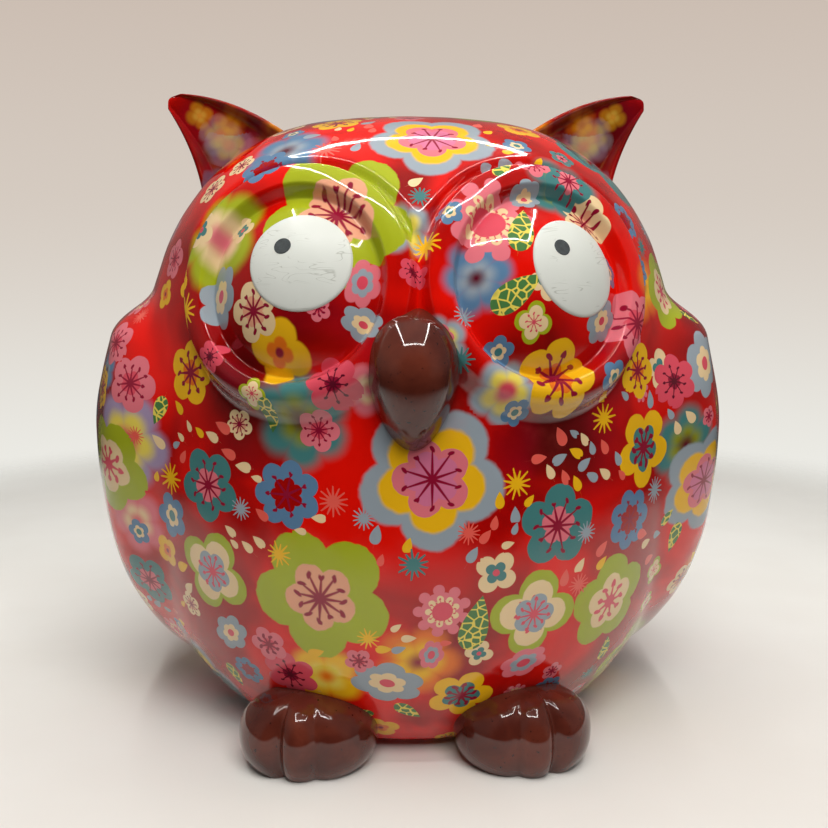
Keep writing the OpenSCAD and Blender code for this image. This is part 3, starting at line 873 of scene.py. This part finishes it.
def transfer(obj, motifs_by_layer, spots):
    """Gives each face the nearest motif of each layer, and each corner its place in that motif."""
    mesh = obj.data
    points = read(mesh.vertices, "co", 3, float) / MM
    centres = read(mesh.polygons, "center", 3, float) / MM
    totals = read(mesh.polygons, "loop_total", 1, int)
    corners = read(mesh.loops, "vertex_index", 1, int)
    face_of = np.repeat(np.arange(len(totals)), totals)
    # The share of dark print and painted shade at each point, from the dark spots.
    bare = np.ones(len(points))
    for at, reach, strength in spots:
        bare *= 1 - strength * np.exp(-(np.linalg.norm(points - at, axis=1) / reach) ** 3)
    add_attribute(mesh, "shade", "FLOAT", "POINT", 1 - bare)
    margin = 1.6
    for number, motifs in enumerate(motifs_by_layer):
        nearest = np.full(len(centres), margin)
        index = np.full(len(centres), len(motifs))
        for k, m in enumerate(motifs):
            over = np.linalg.norm(centres - m["at"], axis=1) - m["radius"] * (1 + 0.6 * m["core"][2])
            take = over < nearest
            nearest[take] = over[take]
            index[take] = k
        blank = dict(KINDS["rose"], at=np.zeros(3), u=np.zeros(3), v=np.zeros(3), radius=1.0, ink=0.0)
        everyone = motifs + [blank]
        table = {key: np.array([m[key] for m in everyone]) for key in everyone[0]}
        chosen = index[face_of]
        off = points[corners] - table["at"][chosen]
        u = (off * table["u"][chosen]).sum(1) / table["radius"][chosen]
        v = (off * table["v"][chosen]).sum(1) / (table["radius"] * table["flat"])[chosen]
        place = np.stack([u, v, table["ink"][chosen]], 1)
        prefix = f"motif{number}_"
        add_attribute(mesh, prefix + "place", "FLOAT_VECTOR", "CORNER", place)
        for key in ("petals", "core", "stamens"):
            add_attribute(mesh, prefix + key, "FLOAT_VECTOR", "FACE", table[key][index])
        for key in ("outer", "inner", "centre"):
            colour = np.concatenate([table[key][index], np.ones((len(index), 1))], 1)
            add_attribute(mesh, prefix + key, "FLOAT_COLOR", "FACE", colour)


# ---- Node graphs ----

def math_node(operation, swapped=False):
    """A method that adds a Math node."""
    def method(self, other=0.0):
        return self.graph.math(operation, *((other, self) if swapped else (self, other)))
    return method


class Value:
    """A number that nodes work out. Arithmetic on it adds Math nodes."""

    def __init__(self, graph, socket):
        self.graph, self.socket = graph, socket

    __add__ = __radd__ = math_node("ADD")
    __mul__ = __rmul__ = math_node("MULTIPLY")
    __sub__, __rsub__ = math_node("SUBTRACT"), math_node("SUBTRACT", True)
    __truediv__, __rtruediv__ = math_node("DIVIDE"), math_node("DIVIDE", True)
    __abs__, root = math_node("ABSOLUTE"), math_node("SQRT")
    sine, cosine, arctan2 = math_node("SINE"), math_node("COSINE"), math_node("ARCTAN2")
    least, most = math_node("MINIMUM"), math_node("MAXIMUM")
    below, above = math_node("LESS_THAN"), math_node("GREATER_THAN")
    modulo, pingpong = math_node("FLOORED_MODULO"), math_node("PINGPONG")


class Graph:
    """Short ways to add nodes to a tree. An input may be a number, a colour, a socket or a Value."""

    def __init__(self, tree):
        self.tree = tree

    def node(self, kind_of, inputs=(), **settings):
        node = self.tree.nodes.new(kind_of)
        for key, value in settings.items():
            setattr(node, key, value)
        for key, value in dict(inputs).items():
            self.feed(node.inputs[key], value)
        return node

    def feed(self, socket, value):
        if isinstance(value, Value):
            value = value.socket
        if isinstance(value, bpy.types.NodeSocket):
            self.tree.links.new(value, socket)
        elif isinstance(value, tuple) and len(value) == 3 and socket.type == "RGBA":
            socket.default_value = (*value, 1.0)
        else:
            socket.default_value = value

    def math(self, operation, a, b):
        return Value(self, self.node("ShaderNodeMath", {0: a, 1: b}, operation=operation).outputs[0])

    def mix(self, share, a, b):
        node = self.node("ShaderNodeMix", data_type="RGBA", clamp_factor=True)
        for socket, value in ((node.inputs[0], share), (node.inputs[6], a), (node.inputs[7], b)):
            self.feed(socket, value)
        return node.outputs[2]

    def range(self, value, low, high, to_low=0.0, to_high=1.0):
        node = self.node("ShaderNodeMapRange", {0: value, 1: low, 2: high, 3: to_low, 4: to_high},
                         interpolation_type="SMOOTHSTEP")
        return Value(self, node.outputs[0])

    def split(self, vector):
        return [Value(self, out) for out in self.node("ShaderNodeSeparateXYZ", {0: vector}).outputs]

    def join(self, x, y, z):
        return self.node("ShaderNodeCombineXYZ", {0: x, 1: y, 2: z}).outputs[0]

    def place(self):
        return self.node("ShaderNodeTexCoord").outputs["Object"]

    def noise(self, scale, detail=3.0, distortion=0.0, vector=None):
        node = self.node("ShaderNodeTexNoise", {"Scale": scale, "Detail": detail, "Distortion": distortion,
                                                "Vector": vector or self.place()})
        return Value(self, node.outputs["Fac"])

    def attribute(self, name, output="Vector"):
        return self.node("ShaderNodeAttribute", attribute_name=name).outputs[output]

    def bump(self, height, strength, distance):
        return self.node("ShaderNodeBump", {"Height": height, "Strength": strength,
                                            "Distance": distance}).outputs[0]


def length(x, y):
    return (x * x + y * y).root()


def folded(r, angle, count):
    """The place in the nearest of count equal sectors, along its middle line and off it."""
    sector = 2 * math.pi / count
    off = abs((angle + 4 * math.pi).modulo(sector) - sector * 0.5)
    return r * off.cosine(), r * off.sine()


def lobes(x, y, r, out, radius):
    """How deep a point lies in a blossom whose petals are circles of that radius, out from the middle."""
    return (radius - length(x - out, y)).most(out * 0.9 - r)


def motif_group():
    """Draws one layer's motif over the ground colour. A depth is above zero inside its shape."""
    tree = bpy.data.node_groups.new("motif", "ShaderNodeTree")
    colours, vectors = ("Ground", "Outer", "Inner", "Centre"), ("Place", "Petals", "Core", "Stamens")
    sockets = [(name, "Color") for name in colours] + [(name, "Vector") for name in vectors]
    for name, kind_of in sockets + [("Wobble", "Float")]:
        tree.interface.new_socket(name, in_out="INPUT", socket_type="NodeSocket" + kind_of)
    tree.interface.new_socket("Color", in_out="OUTPUT", socket_type="NodeSocketColor")
    g = Graph(tree)
    entry = g.node("NodeGroupInput").outputs
    u, v, ink = g.split(entry["Place"])
    count, out, radius = g.split(entry["Petals"])
    inside, disc, soft = g.split(entry["Core"])
    stamens, reach, line = g.split(entry["Stamens"])
    r = length(u, v) + Value(g, entry["Wobble"]) * 0.07
    angle = v.arctan2(u)

    x, y = folded(r, angle, count)
    pointed = (u + 1.0).most(0.0).root() * (1.0 - u) * 0.52 - abs(v)
    single = count.below(1.5)
    petals = g.node("ShaderNodeMix", {0: single, 2: lobes(x, y, r, out, radius), 3: pointed}).outputs[0]
    inner = lobes(x, y, r, out * inside, radius * inside)

    x, y = folded(r, angle, stamens)
    tip = reach * (1.0 - (angle * 2.3).pingpong(1.0) * 0.25)
    taper = 1.25 - r * 0.75 / tip.most(0.01)
    stroke = (line * taper - y).least(tip - r)
    anther = line * reach.below(0.9) * 1.9 - length(x - tip * 0.98, y)
    drawn = stroke.most(anther).most(disc - r)

    cells = g.node("ShaderNodeTexVoronoi", {"Scale": 430.0, "Vector": g.place()},
                   feature="DISTANCE_TO_EDGE")
    veins = g.range(cells.outputs["Distance"], 0.06, 0.1, 1.0, 0.0)
    outer = g.mix(veins * ink.above(1.5), entry["Outer"], entry["Inner"])
    colour = entry["Ground"]
    for depth, paint in ((petals, outer), (inner, entry["Inner"]), (drawn, entry["Centre"])):
        colour = g.mix(g.range(depth, soft * -1.0, soft) * ink.least(1.0), colour, paint)
    exit_node = g.node("NodeGroupOutput")
    tree.links.new(colour, exit_node.inputs["Color"])
    return tree


def material(name):
    made = bpy.data.materials.new(name)
    made.use_nodes = True
    made.node_tree.nodes.clear()
    g = Graph(made.node_tree)
    shader = g.node("ShaderNodeBsdfPrincipled")
    g.node("ShaderNodeOutputMaterial", {0: shader.outputs[0]})
    return made, g, shader


def glaze_surface(g, shader, rough):
    """A poured glaze: glossy, with slight orange peel and a few duller patches."""
    patchy = 0.05
    peel = g.noise(120, 2.0)
    pits = g.noise(1400, 2.0)
    g.feed(shader.inputs["Normal"], g.bump(peel + pits * 0.04, 0.12, 0.0006))
    dull = g.range(g.noise(45, 4.0, 0.4), 0.55, 0.8)
    g.feed(shader.inputs["Roughness"], dull * patchy + rough)
    shader.inputs["IOR"].default_value = 1.52
    shader.inputs["Coat Weight"].default_value = 0.15
    shader.inputs["Coat Roughness"].default_value = 0.02


def floral_glaze():
    made, g, shader = material("floral_glaze")
    ground = g.mix(g.range(g.noise(28, 3.0, 0.6), 0.38, 0.65), RED, DEEP_RED)
    # The shade attribute darkens the ground towards umber and crimson, for the dark print patches and for
    # painted shade.
    shade = g.range(g.noise(60, 3.0, 0.5), 0.2, 0.6, 0.6, 1.0) * g.attribute("shade", "Fac")
    ground = g.mix(shade, ground, g.mix(g.range(g.noise(40, 2.0), 0.4, 0.65), UMBER, CRIMSON))
    wobble = g.noise(330, 2.0) - 0.5
    group = motif_group()
    colour = ground
    for number in range(3):
        prefix = f"motif{number}_"
        layer = g.node("ShaderNodeGroup", node_tree=group)
        g.feed(layer.inputs["Ground"], colour)
        g.feed(layer.inputs["Wobble"], wobble)
        for key in ("place", "petals", "core", "stamens"):
            g.feed(layer.inputs[key.capitalize()], g.attribute(prefix + key))
        for key in ("outer", "inner", "centre"):
            g.feed(layer.inputs[key.capitalize()], g.attribute(prefix + key, "Color"))
        colour = layer.outputs["Color"]
    thin = g.range(g.noise(60, 5.0), 0.62, 0.8, 0.0, 0.12)
    colour = g.mix(thin, colour, SALMON)
    g.feed(shader.inputs["Base Color"], colour)
    glaze_surface(g, shader, 0.07)
    return made


def brown_glaze():
    made, g, shader = material("brown_glaze")
    tone = g.mix(g.range(g.noise(70, 5.0, 0.5), 0.3, 0.75), srgb(68, 26, 19), srgb(98, 44, 31))
    specks = g.range(g.noise(900, 2.0), 0.66, 0.74)
    g.feed(shader.inputs["Base Color"], g.mix(specks, tone, srgb(46, 20, 18)))
    glaze_surface(g, shader, 0.08)
    return made


def white_glaze():
    made, g, shader = material("white_glaze")
    tone = g.mix(g.noise(90, 4.0), srgb(204, 209, 203), srgb(214, 217, 212))
    x, _, z = g.split(g.place())
    scratch = abs(g.noise(420, 1.0, 1.2, g.join(x * 0.25, 0.0, z)) - 0.5)
    fine = g.range(scratch, 0.0, 0.016, 0.8, 0.0)
    gate = g.range(g.noise(120, 1.0), 0.5, 0.58)
    g.feed(shader.inputs["Base Color"], g.mix(fine * gate, tone, srgb(168, 172, 164)))
    glaze_surface(g, shader, 0.34)
    shader.inputs["IOR"].default_value = 1.4
    shader.inputs["Coat Weight"].default_value = 0.04
    return made


def grey_enamel():
    made, g, shader = material("grey_enamel")
    tone = g.mix(g.noise(800, 3.0), srgb(50, 54, 56), srgb(84, 90, 92))
    g.feed(shader.inputs["Base Color"], tone)
    glaze_surface(g, shader, 0.14)
    return made


def raw_clay():
    made, g, shader = material("raw_clay")
    tone = g.mix(g.noise(160, 6.0), srgb(205, 192, 172), srgb(228, 218, 202))
    grit = g.range(g.noise(2600, 2.0), 0.64, 0.72)
    g.feed(shader.inputs["Base Color"], g.mix(grit, tone, srgb(160, 140, 118)))
    g.feed(shader.inputs["Roughness"], g.range(g.noise(300, 4.0), 0.3, 0.7, 0.72, 0.92))
    g.feed(shader.inputs["Normal"], g.bump(g.noise(1800, 5.0), 0.35, 0.0004))
    return made


def brushed(name, light, dark, rough, lines):
    """Bare metal with fine lines from working it, a little stained."""
    made, g, shader = material(name)
    x, y, z = g.split(g.place())
    grain = g.noise(lines, 3.0, 0.0, g.join(x * 0.05, y, z))
    stain = g.range(g.noise(110, 5.0, 0.3), 0.35, 0.7)
    g.feed(shader.inputs["Base Color"], g.mix(stain, light, dark))
    g.feed(shader.inputs["Roughness"], g.range(grain, 0.3, 0.7, rough - 0.08, rough + 0.1))
    g.feed(shader.inputs["Normal"], g.bump(grain, 0.12, 0.0002))
    shader.inputs["Metallic"].default_value = 1.0
    return made


def black_rubber():
    made, g, shader = material("black_rubber")
    g.feed(shader.inputs["Base Color"], g.mix(g.noise(240, 4.0), srgb(24, 24, 25), srgb(46, 45, 45)))
    g.feed(shader.inputs["Roughness"], g.range(g.noise(500, 3.0), 0.3, 0.7, 0.6, 0.8))
    g.feed(shader.inputs["Normal"], g.bump(g.noise(2400, 3.0), 0.25, 0.0002))
    return made


# ---- Stage, light and camera ----

def make_floor():
    """A plain pale floor that fades away, soonest in front, a little way from the owl. Painted shade makes
    it a little darker in front than behind.
    """
    size = 0.7
    mesh = bpy.data.meshes.new("floor")
    corners = [(-size, -size, 0), (size, -size, 0), (size, size, 0), (-size, size, 0)]
    mesh.from_pydata(corners, [], [(0, 1, 2, 3)])
    floor = bpy.data.objects.new("floor", mesh)
    bpy.context.scene.collection.objects.link(floor)
    made, g, shader = material("pale_floor")
    x, y, _ = g.split(g.place())
    # Painted shade: the floor's colour is darker in front, towards the camera, and lighter behind.
    tone = g.mix(g.range(y, -0.2, 0.2), srgb(222, 221, 218), srgb(236, 237, 234))
    cloudy = g.range(g.noise(14, 5.0), 0.3, 0.7, 0.0, 0.15)
    g.feed(shader.inputs["Base Color"], g.mix(cloudy, tone, srgb(204, 198, 190)))
    shader.inputs["Roughness"].default_value = 0.75
    away = length(x, y - 0.13)
    clear = g.node("ShaderNodeBsdfTransparent").outputs[0]
    both = g.node("ShaderNodeMixShader", {0: g.range(away, 0.25, 0.38), 1: shader.outputs[0], 2: clear})
    g.feed(made.node_tree.get_output_node("ALL").inputs[0], both.outputs[0])
    mesh.materials.append(made)


def make_world():
    """A pale light tent that is open in front, where the room is darker."""
    world = bpy.data.worlds.new("tent")
    bpy.context.scene.world = world
    world.use_nodes = True
    world.node_tree.nodes.clear()
    g = Graph(world.node_tree)
    direction = g.node("ShaderNodeTexCoord").outputs["Generated"]
    _, y, z = g.split(direction)
    before = y * -1.0
    dim_room, dark_room = srgb(60, 50, 46), srgb(40, 32, 30)
    tent = g.mix(g.range(z, -0.5, 0.5, 0.7, 0.0), srgb(240, 234, 228), dim_room)
    tent = g.mix(g.range(before, -0.1, 0.7, 0.0, 0.85), tent, dim_room)
    mirrored = g.mix(g.range(before, 0.45, 0.8, 0.0, 0.93), srgb(196, 186, 178), dark_room)
    mirrored = g.mix(g.range(z, -0.25, 0.2, 0.85, 0.0), mirrored, dark_room)
    seen = g.mix(g.range(z, -0.24, 0.05), srgb(238, 238, 232), srgb(214, 204, 194))
    seen = g.mix(g.range(z, -0.02, 0.3), seen, srgb(200, 184, 172))
    rays = g.node("ShaderNodeLightPath").outputs
    light = g.node("ShaderNodeBackground", {"Color": tent, "Strength": 0.3})
    gloss = g.node("ShaderNodeBackground", {"Color": mirrored, "Strength": 0.36})
    backdrop = g.node("ShaderNodeBackground", {"Color": seen, "Strength": 1.0})
    shown = light
    for ray, other in (("Is Glossy Ray", gloss), ("Is Camera Ray", backdrop)):
        shown = g.node("ShaderNodeMixShader", {0: rays[ray], 1: shown.outputs[0], 2: other.outputs[0]})
    g.node("ShaderNodeOutputWorld", {0: shown.outputs[0]})


def lamp(name, centre, length, width, power, target=None):
    """A rectangular lamp that shines straight down, or at a target."""
    light = bpy.data.lights.new(name, "AREA")
    light.shape = "RECTANGLE"
    light.size, light.size_y = length, width
    light.energy = power
    light.color = (1.0, 0.97, 0.93)
    obj = bpy.data.objects.new(name, light)
    obj.location = centre
    if target is not None:
        obj.rotation_euler = (Vector(target) - Vector(centre)).to_track_quat("-Z", "Y").to_euler()
    bpy.context.scene.collection.objects.link(obj)
    return obj


def make_lights():
    """The tent's lid, a soft panel framed by four narrow bright strips, and a soft fill from in front."""
    front, back, half, height = -0.25, 0.19, 0.16, 0.47
    middle, deep = (front + back) / 2, back - front
    width = 0.007
    lamp("panel", (0, middle, height + 0.02), 2 * half, deep, 0.1)
    lamp("strip_front", (0, front, height), 2 * half, width, 0.42)
    lamp("strip_back", (0, back, height), 2 * half, 1.6 * width, 0.42)
    lamp("strip_left", (-half, middle, height), width, deep, 0.5)
    lamp("strip_right", (half, middle, height), width, deep, 0.5)
    fill = lamp("fill", (0.12, -0.74, 0.84), 0.7, 0.4, 7.6, (0, 0, 0.12))
    sky = lamp("sky", (0.03, -0.28, 0.85), 0.7, 0.5, 0.9, (0, 0, 0.1))
    for each in (fill, sky):
        each.visible_glossy = False


def make_camera():
    data = bpy.data.cameras.new("camera")
    data.sensor_width = 36.0
    data.lens = 50.3
    camera = bpy.data.objects.new("camera", data)
    bpy.context.scene.collection.objects.link(camera)
    away, yaw, height = 0.367, math.radians(-1.9), 0.142
    camera.location = (away * math.sin(yaw), AXIS_Y * MM - away * math.cos(yaw), height)
    target = Vector((0.002, AXIS_Y * MM, CENTRE_Z * MM))
    camera.rotation_euler = (target - camera.location).to_track_quat("-Z", "Y").to_euler()
    bpy.context.scene.camera = camera


# ---- Assembly ----

def dress(obj, made):
    """Sets an object's only material, and keeps a CAD node's mesh as it is."""
    if not obj.material_slots:
        obj.data.materials.append(made)
    for each in obj.material_slots:
        each.material = made


shell, cavity = make_shell(), make_cavity()
goggles = [make_goggle(s) for s in SIDES]
ears = [make_ear(s) for s in SIDES]
whites = [make_white(s) for s in SIDES]
pupils = [make_pupil(s) for s in SIDES]
browns = [make_beak()] + [make_foot(s) for s in SIDES]

all_layers = layers()
print_and_shade_marks = print_and_shade_spots()
floral = floral_glaze()
own_layers = {ear: ear_motifs(s) for ear, s in zip(ears, SIDES)}
for obj in [shell] + goggles + ears:
    transfer(obj, own_layers.get(obj, all_layers), print_and_shade_marks)
    dress(obj, floral)
looks = {
    "brown_glaze": brown_glaze(), "white_glaze": white_glaze(), "grey_enamel": grey_enamel(),
    "raw_clay": raw_clay(), "black_rubber": black_rubber(),
    "plated_sheet": brushed("plated_sheet", srgb(205, 204, 200), srgb(170, 170, 166), 0.3, 900),
    "plated_steel": brushed("plated_steel", srgb(196, 196, 192), srgb(150, 152, 150), 0.34, 1200),
    "dark_steel": brushed("dark_steel", srgb(110, 110, 112), srgb(70, 70, 74), 0.35, 1500),
    "barrel_brass": brushed("barrel_brass", srgb(214, 180, 104), srgb(176, 138, 70), 0.28, 1500),
}
for obj in browns:
    dress(obj, looks["brown_glaze"])
for obj in whites:
    dress(obj, looks["white_glaze"])
for obj in pupils:
    dress(obj, looks["grey_enamel"])
dress(cavity, looks["raw_clay"])
slot_of = {row["node"]: row["material_slot"] for row in frame["record"]["subparts"]}
for name, obj in nodes.items():
    if slot_of[name] in looks:
        dress(obj, looks[slot_of[name]])

make_floor()
make_world()
make_lights()
make_camera()
bpy.context.scene.view_settings.view_transform = "Standard"
